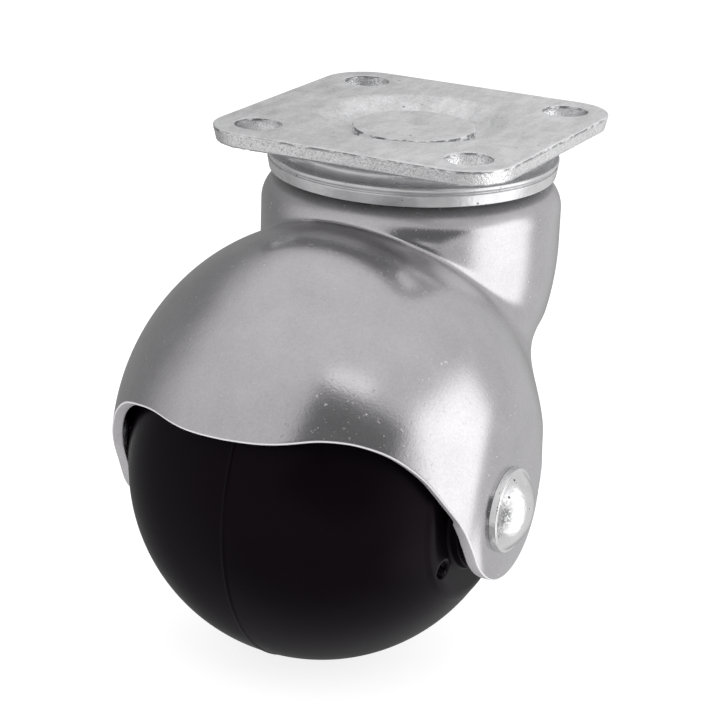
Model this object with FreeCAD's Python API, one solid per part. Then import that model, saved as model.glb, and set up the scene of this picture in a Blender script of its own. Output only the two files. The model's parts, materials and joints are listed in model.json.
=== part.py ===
import FreeCAD, Part
import math
import os

# Swivel ball caster with a square top plate, in millimetres.
# Origin: centre of the plate's mounting face, on the swivel axis. +Z up.
# The hood faces -Y and the axle lies along X.

# Top plate
plate_side = 42.0
plate_thickness = 2.0
plate_corner_radius = 6.5
plate_edge_bevel = 0.3
plate_edge_draft = 0.35
hole_spacing = 30.0
hole_diameter = 6.2
dish_depth = 2.0
dish_margin = 1.6
dish_wall_run = 2.2

# Kingpin
kingpin_head_diameter = 16.3
kingpin_head_height = 0.9
kingpin_head_round = 0.35
kingpin_diameter = 10.0
kingpin_tip_diameter = 7.4
kingpin_rivet_diameter = 11.6
kingpin_rivet_height = 1.5
kingpin_rivet_edge = 0.5

# Bearing balls
upper_ball_diameter = 4.0
lower_ball_diameter = 3.5
ball_spacing_gap = 0.6
ball_play = 0.05
track_depth = 0.15
track_ease = 1.08

# Race cup and lower race
race_sheet = 1.3
race_side_gap = 0.3
race_rim_setback = 0.6
race_rim_width = 2.0
race_rim_height = 2.45
race_rim_round = 0.5
race_rim_flare = 1.0
race_rim_groove_height = 0.5
race_rim_groove_depth = 0.35
race_rim_gap = 0.4
race_lip_height = 2.0

# Yoke: neck, hood and legs in one sheet
sheet = 1.4
neck_radius = 19.9
shoulder_radius = 4.0
neck_straight = 4.4
neck_barrel_radius = 40.0
neck_taper_angle = 25.0
hood_side_clearance = 1.5
hood_top_clearance = 3.6
hood_shift_back = 1.4
hood_rise = 1.7
leg_flat_depth = 1.7
leg_end_radius = 9.3
leg_end_shift = 0.6
leg_front_turn = 206.0
leg_back_turn = -12.0

# Lower edge of the yoke, as reach ahead of or behind the axle and height above it
visor_height = 11.9
brow_reach = 21.5
brow_height = 12.6
cheek_reach = 16.9
cheek_height = 10.0
leg_front_reach = 12.9
leg_front_height = 4.4
leg_back_reach = 13.4
leg_back_height = 7.3
back_arch_reach = 25.0
back_arch_height = 15.1
back_edge_height = 17.5

# Ball wheel and axle
ball_diameter = 50.0
swivel_offset = 22.7
ball_drop = 34.25
ball_flat_depth = 3.0
ball_flat_round = 2.6
hub_ring_diameter = 16.6
hub_ring_gap = 0.9
hub_nose_wall = 1.2
hub_play = 0.3
axle_diameter = 7.0
rivet_head_diameter = 11.0
rivet_flange_height = 0.9
rivet_flange_step = 0.5
rivet_dome_height = 2.25
gate_reach = 10.6
gate_angle = 213.1
gate_nub_radius = 0.7
gate_nub_height = 0.35
gate_pit_radius = 1.15
gate_pit_depth = 0.45

# Fits
fixed_fit = 0.05
running_fit = 0.05
pin_clearance = 0.3

# Sizes that follow from the ones above
UP = FreeCAD.Vector(0, 0, 1)
ALONG_AXLE = FreeCAD.Vector(1, 0, 0)
ORIGIN = FreeCAD.Vector(0, 0, 0)
kingpin_radius = kingpin_diameter / 2
dish_floor_radius = kingpin_head_diameter / 2 + dish_margin
dish_top_radius = dish_floor_radius + dish_wall_run
plate_under = -plate_thickness

upper_ball_radius = upper_ball_diameter / 2
upper_race_face = plate_under - race_sheet
upper_ball_level = upper_race_face - ball_play - upper_ball_radius
yoke_top = upper_ball_level - upper_ball_radius - ball_play + track_depth
race_rim_radius = neck_radius - race_rim_setback
race_wall_radius = race_rim_radius - race_rim_width
race_bore_radius = dish_top_radius + race_side_gap
upper_track_radius = race_wall_radius - race_sheet - race_side_gap - upper_ball_radius
upper_track_section = upper_ball_radius * track_ease

lower_ball_radius = lower_ball_diameter / 2
yoke_under = yoke_top - sheet
lower_ball_level = yoke_under + track_depth - ball_play - lower_ball_radius
lower_race_face = lower_ball_level - lower_ball_radius - ball_play + track_depth
lower_race_under = lower_race_face - race_sheet
lower_track_radius = kingpin_radius + pin_clearance + race_sheet + race_side_gap + lower_ball_radius
lower_track_section = lower_ball_radius * track_ease

ball_radius = ball_diameter / 2
axle_radius = axle_diameter / 2
axle_y = -swivel_offset
axle_z = yoke_top - ball_drop
hood_radius = ball_radius + hood_side_clearance + sheet
hood_height = ball_radius + hood_top_clearance + sheet
hood_y = axle_y + hood_shift_back
hood_z = axle_z + hood_rise
leg_outside = hood_radius - leg_flat_depth
leg_inside = leg_outside - sheet
reach = 2 * (hood_radius + neck_radius + swivel_offset)


def point(x, y, z):
    return FreeCAD.Vector(x, y, z)


def round_section(out, z):
    """Point of a profile behind the swivel axis, to be turned about it."""
    return FreeCAD.Vector(0, out, z)


def line(start, end):
    return Part.LineSegment(start, end).toShape()


def arc(start, middle, end):
    return Part.Arc(start, middle, end).toShape()


def turned(edges, base=ORIGIN, axis=UP):
    """Solid made by turning a closed outline a full turn about an axis."""
    face = Part.Face(Part.Wire(edges))
    return face.revolve(base, axis, 360)


def turned_polygon(points):
    return turned(Part.makePolygon(points + points[:1]).Edges)


def pin(radius, low, high):
    return Part.makeCylinder(radius, high - low, point(0, 0, low), UP)


def rounded_square(side, corner, level):
    """Closed outline of a square with round corners, at one height."""
    half = side / 2
    flat = half - corner
    diagonal = flat + corner * math.sqrt(0.5)
    edges = []
    for quarter in range(4):
        turn = FreeCAD.Rotation(UP, 90 * quarter)
        start = turn.multVec(point(half, -flat, level))
        corner_start = turn.multVec(point(half, flat, level))
        corner_middle = turn.multVec(point(diagonal, diagonal, level))
        corner_end = turn.multVec(point(flat, half, level))
        edges.append(line(start, corner_start))
        edges.append(arc(corner_start, corner_middle, corner_end))
    return Part.Wire(edges)


def dish_cone(level):
    """Solid of the pressed dish, with its wide end at the given height."""
    return turned_polygon([
        round_section(0, level),
        round_section(dish_top_radius, level),
        round_section(dish_floor_radius, level - dish_depth),
        round_section(0, level - dish_depth),
    ])


def make_top_plate():
    levels = ((plate_edge_bevel, 0), (0, -plate_edge_bevel), (plate_edge_draft, plate_under))
    outlines = []
    for setback, level in levels:
        outlines.append(rounded_square(plate_side - 2 * setback, plate_corner_radius - setback, level))
    plate = Part.makeLoft(outlines, True, True)
    plate = plate.fuse(dish_cone(plate_under))
    plate = plate.cut(dish_cone(0))
    for x_side in (-1, 1):
        for y_side in (-1, 1):
            hole = pin(hole_diameter / 2, 2 * plate_under, plate_thickness)
            hole.translate(point(x_side * hole_spacing / 2, y_side * hole_spacing / 2, 0))
            plate = plate.cut(hole)
    bore = pin(kingpin_radius + fixed_fit, 2 * plate_under - dish_depth, plate_thickness)
    return plate.cut(bore).removeSplitter()


def make_kingpin():
    head_under = -dish_depth
    head_top = head_under + kingpin_head_height
    head_radius = kingpin_head_diameter / 2
    tip_radius = kingpin_tip_diameter / 2
    rivet_radius = kingpin_rivet_diameter / 2
    rivet_end = lower_race_under - kingpin_rivet_height
    rivet_edge = lower_race_under - kingpin_rivet_edge
    bevel = kingpin_head_round
    return turned_polygon([
        round_section(0, head_top),
        round_section(head_radius - bevel, head_top),
        round_section(head_radius, head_top - bevel),
        round_section(head_radius, head_under),
        round_section(kingpin_radius, head_under),
        round_section(kingpin_radius, lower_race_face),
        round_section(tip_radius, lower_race_face),
        round_section(tip_radius, lower_race_under),
        round_section(rivet_radius, lower_race_under),
        round_section(rivet_radius, rivet_edge),
        round_section(tip_radius, rivet_end),
        round_section(0, rivet_end),
    ])


def make_race_cup():
    rim_under = yoke_top + race_rim_gap
    rim_top = rim_under + race_rim_height
    groove_middle = (rim_under + rim_top) / 2
    groove_half = race_rim_groove_height / 2
    inner_wall = race_wall_radius - race_sheet
    bevel = race_rim_round
    flare = min(race_rim_flare, upper_race_face - rim_top, race_rim_width - bevel)
    flare_middle = flare * (1 - math.sqrt(0.5))
    flare_top = round_section(race_wall_radius, rim_top + flare)
    flare_end = round_section(race_wall_radius + flare, rim_top)
    corners = [
        flare_end,
        round_section(race_rim_radius - bevel, rim_top),
        round_section(race_rim_radius, rim_top - bevel),
        round_section(race_rim_radius, groove_middle + groove_half),
        round_section(race_rim_radius - race_rim_groove_depth, groove_middle),
        round_section(race_rim_radius, groove_middle - groove_half),
        round_section(race_rim_radius, rim_under + bevel),
        round_section(race_rim_radius - bevel, rim_under),
        round_section(inner_wall, rim_under),
        round_section(inner_wall, upper_race_face),
        round_section(race_bore_radius, upper_race_face),
        round_section(race_bore_radius, plate_under),
        round_section(inner_wall, plate_under),
        round_section(race_wall_radius, upper_race_face),
        flare_top,
    ]
    edges = [line(start, end) for start, end in zip(corners, corners[1:])]
    hollow = round_section(race_wall_radius + flare_middle, rim_top + flare_middle)
    edges.append(arc(flare_top, hollow, flare_end))
    return turned(edges)


def ball_track(track_radius, section_radius, level):
    """Ring of the round section that a ball track is pressed with."""
    return Part.makeTorus(track_radius, section_radius, point(0, 0, level), UP)


def make_lower_race():
    lip_inside = lower_track_radius + lower_ball_radius + race_side_gap
    lip_outside = lip_inside + race_sheet
    lip_top = lower_race_face + race_lip_height
    bore_radius = kingpin_tip_diameter / 2 + fixed_fit
    ring = turned_polygon([
        round_section(bore_radius, lower_race_face),
        round_section(lip_inside, lower_race_face),
        round_section(lip_inside, lip_top),
        round_section(lip_outside, lip_top),
        round_section(lip_outside, lower_race_face),
        round_section(lip_outside - race_sheet, lower_race_under),
        round_section(bore_radius, lower_race_under),
    ])
    track_middle = lower_race_face - track_depth + lower_track_section
    return ring.cut(ball_track(lower_track_radius, lower_track_section, track_middle))


def bearing_balls(radius, track_radius, level):
    """One ring of bearing balls, as many as the track holds."""
    pitch = 2 * math.asin((radius + ball_spacing_gap / 2) / track_radius)
    count = int(2 * math.pi / pitch)
    balls = []
    for number in range(count):
        angle = 2 * math.pi * number / count
        centre = point(track_radius * math.cos(angle), track_radius * math.sin(angle), level)
        balls.append(Part.makeSphere(radius, centre))
    return balls


def neck_solid(inset):
    """Neck turned about the swivel axis: flat top, round shoulder, straight wall, wall that draws in."""
    shoulder_x = neck_radius - shoulder_radius
    shoulder_z = yoke_top - shoulder_radius
    bend = shoulder_radius - inset
    diagonal = bend * math.sqrt(0.5)
    barrel_x = neck_radius - neck_barrel_radius
    barrel_z = shoulder_z - neck_straight
    barrel = neck_barrel_radius - inset
    sweep = math.radians(neck_taper_angle)
    top_middle = round_section(0, yoke_top - inset)
    top_edge = round_section(shoulder_x, yoke_top - inset)
    shoulder_middle = round_section(shoulder_x + diagonal, shoulder_z + diagonal)
    wall_top = round_section(neck_radius - inset, shoulder_z)
    barrel_top = round_section(neck_radius - inset, barrel_z)
    barrel_out = barrel_x + barrel * math.cos(sweep / 2)
    barrel_middle = round_section(barrel_out, barrel_z - barrel * math.sin(sweep / 2))
    barrel_end_out = barrel_x + barrel * math.cos(sweep)
    barrel_end_z = barrel_z - barrel * math.sin(sweep)
    barrel_end = round_section(barrel_end_out, barrel_end_z)
    bottom = axle_z - leg_end_radius - inset
    bottom_edge = round_section(barrel_end_out - (barrel_end_z - bottom) * math.tan(sweep), bottom)
    bottom_middle = round_section(0, bottom)
    return turned([
        line(top_middle, top_edge),
        arc(top_edge, shoulder_middle, wall_top),
        line(wall_top, barrel_top),
        arc(barrel_top, barrel_middle, barrel_end),
        line(barrel_end, bottom_edge),
        line(bottom_edge, bottom_middle),
        line(bottom_middle, top_middle),
    ])


def hood_solid(inset):
    """Egg-shaped hood over the ball, taller than wide, pressed flat at the axle."""
    centre = point(0, hood_y, hood_z)
    tall = hood_height - inset
    wide = hood_radius - inset
    top = centre + UP * tall
    bottom = centre - UP * tall
    egg = Part.Ellipse(top, centre + point(0, wide, 0), centre)
    outline = Part.ArcOfEllipse(egg, 0, math.pi).toShape()
    hood = turned([outline, line(bottom, top)], centre, UP)
    width = 2 * (leg_outside - inset)
    slab = Part.makeBox(width, 2 * reach, 2 * reach, point(-width / 2, -reach, -reach))
    return hood.common(slab)


def edge_trim():
    """Solid of everything below the yoke's lower edge, seen from the side."""
    def side(ahead, above):
        return point(-reach, axle_y + ahead, axle_z + above)

    def leg_end_point(turn):
        return side(leg_end_shift + leg_end_radius * math.cos(turn), leg_end_radius * math.sin(turn))

    front_turn = math.radians(leg_front_turn)
    back_turn = math.radians(leg_back_turn)
    leg_end = side(leg_end_shift, -leg_end_radius)
    leg_front = leg_end_point(front_turn)
    leg_back = leg_end_point(back_turn)
    front_slope = point(0, -math.sin(front_turn), math.cos(front_turn))
    back_slope = point(0, -math.sin(back_turn), math.cos(back_turn))
    far_front = side(-reach, visor_height)
    visor = side(-hood_radius, visor_height)
    far_back = side(reach, back_edge_height)
    back_edge = side(swivel_offset + neck_radius, back_edge_height)
    level = point(0, 1, 0)

    front_curve = Part.BSplineCurve()
    front_curve.interpolate(
        Points=[visor, side(-brow_reach, brow_height), side(-cheek_reach, cheek_height),
                side(-leg_front_reach, leg_front_height), leg_front],
        InitialTangent=level, FinalTangent=front_slope)
    back_curve = Part.BSplineCurve()
    back_curve.interpolate(
        Points=[leg_back, side(leg_back_reach, leg_back_height),
                side(back_arch_reach, back_arch_height), back_edge],
        InitialTangent=back_slope, FinalTangent=level)
    deep = point(0, 0, -2 * reach)
    outline = Part.Wire([
        line(far_front, visor),
        front_curve.toShape(),
        arc(leg_front, leg_end, leg_back),
        back_curve.toShape(),
        line(back_edge, far_back),
        line(far_back, far_back + deep),
        line(far_back + deep, far_front + deep),
        line(far_front + deep, far_front),
    ])
    return Part.Face(outline).extrude(point(2 * reach, 0, 0))


def axle_section(along, out):
    """Point of a profile beside the axle, to be turned about it."""
    return FreeCAD.Vector(along, axle_y, axle_z + out)


def axle_disc(radius, end):
    """Cylinder on the axle that reaches equally far to both sides."""
    return Part.makeCylinder(radius, 2 * end, axle_section(-end, 0), ALONG_AXLE)


def make_yoke_hood():
    yoke = neck_solid(0).fuse(hood_solid(0))
    yoke = yoke.cut(neck_solid(sheet))
    yoke = yoke.cut(hood_solid(sheet))
    yoke = yoke.cut(edge_trim())
    kingpin_hole = pin(kingpin_radius + pin_clearance, yoke_under - sheet, yoke_top + sheet)
    axle_hole = axle_disc(axle_radius + fixed_fit, reach)
    upper_middle = yoke_top - track_depth + upper_track_section
    lower_middle = yoke_under + track_depth - lower_track_section
    yoke = yoke.cut(kingpin_hole)
    yoke = yoke.cut(axle_hole)
    yoke = yoke.cut(ball_track(upper_track_radius, upper_track_section, upper_middle))
    return yoke.cut(ball_track(lower_track_radius, lower_track_section, lower_middle))


def make_axle_rivet():
    flange_radius = rivet_head_diameter / 2
    dome_radius = flange_radius - rivet_flange_step
    flange_end = leg_outside + rivet_flange_height
    head_end = flange_end + rivet_dome_height
    sphere = (dome_radius ** 2 + rivet_dome_height ** 2) / (2 * rivet_dome_height)
    dome_middle = math.asin(dome_radius / sphere) / 2
    dome_centre = head_end - sphere

    def head_edges(side):
        """Outline of one head, from the shank out to the middle of its dome."""
        corners = [
            axle_section(side * leg_outside, axle_radius),
            axle_section(side * leg_outside, flange_radius),
            axle_section(side * flange_end, flange_radius),
            axle_section(side * flange_end, dome_radius),
        ]
        edges = [line(start, end) for start, end in zip(corners, corners[1:])]
        middle_along = dome_centre + sphere * math.cos(dome_middle)
        middle = axle_section(side * middle_along, sphere * math.sin(dome_middle))
        edges.append(arc(corners[-1], middle, axle_section(side * head_end, 0)))
        return edges

    shank = line(axle_section(-leg_outside, axle_radius), axle_section(leg_outside, axle_radius))
    axis_line = line(axle_section(head_end, 0), axle_section(-head_end, 0))
    outline = Part.Wire(Part.sortEdges(head_edges(-1) + [shank, axis_line] + head_edges(1))[0])
    return turned(outline.Edges, axle_section(0, 0), ALONG_AXLE)


def room_inside_legs(radius):
    """How far out along the axle a disc of this radius stays inside the legs."""
    inner = hood_radius - sheet
    furthest = radius + math.hypot(hood_shift_back, hood_rise)
    return min(leg_inside, math.sqrt(inner ** 2 - furthest ** 2))


def flattened_ball(flat):
    """Ball with two flat sides, each with a round shoulder, turned about the axle."""
    shoulder_along = flat - ball_flat_round
    shoulder_span = ball_radius - ball_flat_round
    shoulder_out = math.sqrt(shoulder_span ** 2 - shoulder_along ** 2)
    tangent = math.atan2(shoulder_out, shoulder_along)
    edges = []
    for side in (-1, 1):
        def shoulder(angle):
            along = shoulder_along + ball_flat_round * math.cos(angle)
            out = shoulder_out + ball_flat_round * math.sin(angle)
            return axle_section(side * along, out)

        flat_edge = shoulder(0)
        edges.append(line(axle_section(side * flat, 0), flat_edge))
        edges.append(arc(flat_edge, shoulder(tangent / 2), shoulder(tangent)))
    end_along = ball_radius * math.cos(tangent)
    end_out = ball_radius * math.sin(tangent)
    ball_top = axle_section(0, ball_radius)
    edges.append(arc(axle_section(-end_along, end_out), ball_top, axle_section(end_along, end_out)))
    edges.append(line(axle_section(-flat, 0), axle_section(flat, 0)))
    return turned(Part.sortEdges(edges)[0], axle_section(0, 0), ALONG_AXLE)


def make_ball_wheel():
    flat = ball_radius - ball_flat_depth
    ball = flattened_ball(flat)
    ring_radius = hub_ring_diameter / 2
    bore_radius = axle_radius + running_fit
    nose_radius = bore_radius + hub_nose_wall
    ball = ball.fuse(axle_disc(ring_radius, room_inside_legs(ring_radius) - hub_ring_gap))
    ball = ball.fuse(axle_disc(nose_radius, room_inside_legs(nose_radius) - hub_play))
    ball = ball.cut(axle_disc(bore_radius, reach))
    turn = math.radians(gate_angle)
    gate = point(flat, axle_y + gate_reach * math.cos(turn), axle_z + gate_reach * math.sin(turn))
    pit_floor = gate - ALONG_AXLE * gate_pit_depth
    pit = Part.makeCylinder(gate_pit_radius, 2 * gate_pit_depth, pit_floor, ALONG_AXLE)
    nub = Part.makeCylinder(gate_nub_radius, gate_pit_depth + gate_nub_height, pit_floor, ALONG_AXLE)
    return ball.cut(pit).fuse(nub).removeSplitter()


def make_parts():
    parts = {
        "top_plate": make_top_plate(),
        "race_cup": make_race_cup(),
        "kingpin": make_kingpin(),
        "lower_race": make_lower_race(),
        "yoke_hood": make_yoke_hood(),
        "axle_rivet": make_axle_rivet(),
        "ball_wheel": make_ball_wheel(),
    }
    rings = {
        "upper_ball": bearing_balls(upper_ball_radius, upper_track_radius, upper_ball_level),
        "lower_ball": bearing_balls(lower_ball_radius, lower_track_radius, lower_ball_level),
    }
    for ring, balls in rings.items():
        for number, ball in enumerate(balls, 1):
            parts["%s_%02d" % (ring, number)] = ball
    return parts


os.makedirs("parts", exist_ok=True)
for name, shape in make_parts().items():
    shape.exportStep("parts/%s.step" % name)
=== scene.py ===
import json
import math

import bmesh
import bpy
import numpy as np
from mathutils import Matrix, Vector, noise as field_noise
from mathutils.geometry import delaunay_2d_cdt


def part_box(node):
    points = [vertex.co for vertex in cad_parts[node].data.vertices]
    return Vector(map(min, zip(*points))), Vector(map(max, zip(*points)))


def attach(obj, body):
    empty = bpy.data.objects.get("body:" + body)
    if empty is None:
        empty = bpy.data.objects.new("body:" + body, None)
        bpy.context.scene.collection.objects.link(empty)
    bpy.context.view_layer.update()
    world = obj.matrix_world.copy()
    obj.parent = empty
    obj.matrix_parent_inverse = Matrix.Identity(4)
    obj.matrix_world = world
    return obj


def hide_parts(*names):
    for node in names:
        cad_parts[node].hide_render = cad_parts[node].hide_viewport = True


# Looks of a swivel ball caster with a square top plate, in metres.
# Origin: centre of the plate's mounting face, on the swivel axis. +Z up, the hood faces -Y.

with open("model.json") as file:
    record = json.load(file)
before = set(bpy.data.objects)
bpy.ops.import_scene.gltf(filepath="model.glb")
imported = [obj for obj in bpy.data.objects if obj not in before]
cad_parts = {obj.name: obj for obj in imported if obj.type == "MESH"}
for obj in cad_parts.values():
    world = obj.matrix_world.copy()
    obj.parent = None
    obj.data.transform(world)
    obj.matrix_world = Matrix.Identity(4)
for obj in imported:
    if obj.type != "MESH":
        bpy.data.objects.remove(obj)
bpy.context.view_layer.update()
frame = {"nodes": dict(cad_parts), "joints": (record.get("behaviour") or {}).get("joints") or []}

MM = 0.001
FULL_TURN = 2 * math.pi
MERGE_DISTANCE = 0.001 * MM
NOT_ZERO = 1e-9
ROUND_STEPS = 6
ROUND_SUPPORT = 0.05 * MM
FINE_ROUND = 0.1 * MM
TURNED_SEGMENTS = 192

# Places and sizes read from the solids
joints = {joint["name"]: joint for joint in frame["joints"]}
AXLE = np.array(joints["wheel_spin"]["pos_m"])
YOKE_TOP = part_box("yoke_hood")[1].z
LEG_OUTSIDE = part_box("yoke_hood")[1].x
FLOOR_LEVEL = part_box("ball_wheel")[0].z
BALL_RADIUS = AXLE[2] - FLOOR_LEVEL
BALL_HALF_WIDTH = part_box("ball_wheel")[1].x
PLATE_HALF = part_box("top_plate")[1].x
HEAD_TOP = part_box("kingpin")[1].z
HEAD_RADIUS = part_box("kingpin")[1].x
PIN_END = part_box("kingpin")[0].z
RACE_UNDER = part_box("race_cup")[0].z
RACE_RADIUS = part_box("race_cup")[1].x
LOWER_RACE_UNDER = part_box("lower_race")[0].z
RIVET_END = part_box("axle_rivet")[1].x
RIVET_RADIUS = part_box("axle_rivet")[1].z - AXLE[2]

# Top plate
PLATE_THICKNESS = 2.0 * MM
PLATE_CORNER = 6.5 * MM
PLATE_DRAFT = 0.35 * MM
PLATE_DRAFT_REACH = 3.0 * MM
PLATE_ROLL = 0.2 * MM
BURR_HEIGHT = 0.12 * MM
BURR_GRAIN = 0.6 * MM
BURR_REACH = 0.1 * MM
HOLE_SPACING = 30.0 * MM
HOLE_RADIUS = 3.1 * MM
HOLE_ROLL = 0.12 * MM
DISH_DEPTH = 2.0 * MM
DISH_FLOOR = 8.6 * MM
DISH_RIM = 13.3 * MM
DISH_RIM_UNDER = 12.4 * MM
PIN_BORE = 5.05 * MM

# Sheared walls of the plate: smooth at first, torn from a share of the thickness on
SHEAR_ROUGHNESS = 0.05 * MM
SHEAR_GRAIN = 0.35 * MM
SHEAR_SEED = 7
SHEAR_LEAST = 0.2
SHEAR_TEAR_START = 0.3
SHEAR_TEAR_RISE = 2
SHEAR_END_FALL = 5
SHEAR_ROWS = 8
UPPER_ROW_GRIME = 0.7

# Mesh of the plate: rings of points along its edges and a grid between them
EDGE_SETBACKS = np.array([0, 0.02, 0.06, 0.12, 0.2, 0.4, 0.8]) * MM
HOLE_SETBACKS = np.array([0, 0.01, 0.04, 0.08, 0.12, 0.4]) * MM
PLATE_CORNER_POINTS = 36
PLATE_SIDE_POINTS = 100
HOLE_POINTS = 72
DISH_POINTS = 120
DISH_SPACING = 0.4 * MM
GRID_SPACING = 0.8 * MM
GRID_OFF_EDGE = 1.2 * MM
GRID_OFF_HOLE = 0.8 * MM
GRID_OFF_DISH = 1.0 * MM
SAME_POINT = 1e-9

# Kingpin
PIN_RADIUS = 5.0 * MM
PIN_TIP_RADIUS = 3.7 * MM
PIN_RIVET_RADIUS = 5.8 * MM
PIN_RIVET_EDGE = 0.5 * MM
PIN_RIVET_ROUND = 0.3 * MM
PIN_END_ROUND = 0.8 * MM
PIN_HEAD_ROUND = 0.2 * MM
LOWER_RACE_SHEET = 1.3 * MM

# Race cup: a wall under the plate, then a rim with a bead, a groove and a band that draws in
RACE_BORE = 12.25 * MM
RACE_WALL = 17.3 * MM
RACE_SHEET = 1.3 * MM
RACE_ROUND = 0.2 * MM
RACE_TOP_ROUND = 0.6 * MM
RACE_WALL_ROUND = 0.3 * MM
RACE_RIM_HEIGHT = 2.45 * MM
RACE_FLARE = 1.0 * MM
RACE_BEAD_HEIGHT = 0.45 * MM
RACE_GROOVE_DROP = 0.85 * MM
RACE_GROOVE_DEPTH = 0.4 * MM
RACE_BAND_DROP = 0.95 * MM
RACE_BAND_SETBACK = 0.06 * MM
RACE_BAND_ROUND = 0.16 * MM
RACE_FOOT_SETBACK = 0.35 * MM
RACE_FOOT_ROUND = 0.15 * MM
RACE_SEGMENTS = 256

# Hood, neck and legs in one sheet
SHEET = 1.4 * MM
FLAT_TOP_ZONE = 1.5 * SHEET
VISOR_ROUND = 0.3 * MM
LEG_ROUND = 0.2 * MM
LEG_CUT_HEIGHT = 1.3 * MM
LEG_CUT_STEP = 0.55
LEG_CUT_RUN = 3.3 * MM
LEG_CUT_FADE = 0.2 * MM
LEG_NORMAL_LEAST = 0.5
UPPER_TRACK_RADIUS = 13.7 * MM
LOWER_TRACK_RADIUS = 8.65 * MM
UPPER_TRACK_SECTION = 2.16 * MM
LOWER_TRACK_SECTION = 1.89 * MM
TRACK_DEPTH = 0.20 * MM
KINGPIN_HOLE = 5.3 * MM
NECK_RADIUS = 19.9 * MM
SHOULDER_RADIUS = 4.0 * MM
NECK_STRAIGHT = 4.4 * MM
NECK_BARREL = 40.0 * MM
NECK_TAPER = math.radians(25)
HOOD_CENTRE = AXLE + np.array([0, 1.4, 1.7]) * MM
HOOD_HALF_AXES = np.array([27.9, 27.9, 30.0]) * MM
LEG_END_RADIUS = 9.3 * MM
LEG_END_SHIFT = 0.6 * MM
LEG_FRONT_TURN = math.radians(206)
LEG_BACK_TURN = math.radians(348)
CREASE_LEVEL = -10.0 * MM
WAIST_LEVEL = -32.0 * MM
CREASE_BLEND = 0.8 * MM
WAIST_BLEND = 9.0 * MM
FLAT_BLEND = 1.5 * MM
LEG_PAD_RADIUS = 9.5 * MM
LEG_PAD_SHIFT = 2.5 * MM
LEG_PAD_BLEND = 2.5 * MM
DRAWN_WIDTH = 6.0 * MM
DRAWN_FULL = 1.3
DRAWN_SHOULDER = 2.5 * MM
DRAWN_FADE = 1.0 * MM
# Top band of the shoulder, made matt and painted darker as painted shade under the race cup
SHADED_SHOULDER_DEPTH = 1.25 * MM
SHADED_SHOULDER_FADE = 0.3 * MM

# Lower edge of the hood in the side view, as distances behind the axle and above it
FRONT_EDGE = np.array([
    (-24.9, 11.9),
    (-21.7, 12.6),
    (-18.3, 11.3),
    (-15.4, 8.4),
    (-12.7, 4.1),
    (-10, 0),
]) * MM
BACK_EDGE = np.array([(13.4, 7.3), (25.0, 15.1), (42.6, 17.5)]) * MM
EDGE_CURVE_STEPS = 40
LEG_END_STEPS = 60

# The visor hangs a little lower on its left; the slant fades out towards the legs
VISOR_SLANT = 0.04
SLANT_START = -14.0 * MM
SLANT_FULL = -20.0 * MM

# Mesh of the hood: columns seen from a centre inside it, rows closer where the skin bends
SKIN_CENTRE = np.array([0, 0, -36 * MM])
SKIN_REACH = 90 * MM
SKIN_COLUMNS = 440
SKIN_ROWS = 96
SKIN_SAMPLES = 360
SKIN_HALVINGS = 36
BEND_WEIGHT = 6.0 * MM
WEIGHT_SMOOTHINGS = 30
CORNER_ROWS = 6
CUT_FACE_ROWS = 2

# Ball
BALL_FLAT = 22.0 * MM
BALL_FLAT_ROUND = 2.6 * MM
HUB_RING_RADIUS = 8.3 * MM
HUB_RING_END = 23.43 * MM
HUB_NOSE_RADIUS = 4.75 * MM
HUB_BORE_ROUND = 0.2 * MM
HUB_NOSE_ROUND = 0.25 * MM
HUB_RING_ROUND = 0.3 * MM
HUB_FOOT_ROUND = 0.4 * MM
BALL_BORE = 3.55 * MM
BALL_FLAT_ROWS = 12
BALL_SHOULDER_ROWS = 11
BALL_SPHERE_ROWS = 59
BALL_COLUMNS = 258
SEAM_HALF_WIDTH = 0.16 * MM
SEAM_FOOT = 3 * SEAM_HALF_WIDTH
SEAM_HEIGHT = 0.09 * MM
GATE_REACH = 10.6 * MM
GATE_ANGLE = math.radians(213.1)
GATE_PIT_RADIUS = 0.9 * MM
GATE_PIT_DEPTH = 0.7 * MM
GATE_PIT_STEEPNESS = 12
GATE_NUB_RADIUS = 0.42 * MM
GATE_NUB_HEIGHT = 0.8 * MM
GATE_NUB_SHIFT = 0.4 * MM
GATE_NUB_STEEPNESS = 10
GATE_STRETCH = 1.4
GATE_MESH_REACH = 2.2
GATE_COLUMNS = 41

# Axle rivet
RIVET_SHANK = 3.5 * MM
RIVET_FLANGE_HEIGHT = 0.9 * MM
RIVET_FLANGE_STEP = 0.5 * MM
RIVET_FLANGE_DRAFT = 0.15 * MM
RIVET_FLANGE_ROUND = 0.12 * MM
RIVET_FOOT_ROUND = 0.05 * MM
RIVET_DOME_ROUND = 0.06 * MM
RIVET_DOME_ROWS = 14
# Place on each dome that the material darkens: pits with a painted dark reflection
DARK_PATCH_REACH = 4.1 * MM
DARK_PATCH_WIDTH = 0.7 * MM
DARK_PATCH_ANGLE = math.radians(167)
DARK_PATCH_TURN = math.radians(30)

# Camera of the photo
VIEW_AZIMUTH = math.radians(27.21)
VIEW_ELEVATION = math.radians(19.965)
VIEW_ROLL = math.radians(2.051)
VIEW_TARGET = Vector((-6.46, 0, -35.502)) * MM
VIEW_DISTANCE = 316.242 * MM
FOCAL_PIXELS = 2296.267
FRAME_PIXELS = 724
SENSOR_WIDTH = 36.0
NEAREST_SEEN = 0.01

# Stage
FLOOR_HALF = 12.0
FLOOR_CLOUDS = 0.3
FLOOR_GLOW = 0.82
ROOM_LIGHT = 0.78

# Range that most of a noise pattern lies in
NOISE_LOW = 0.3
NOISE_HIGH = 0.7


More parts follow.
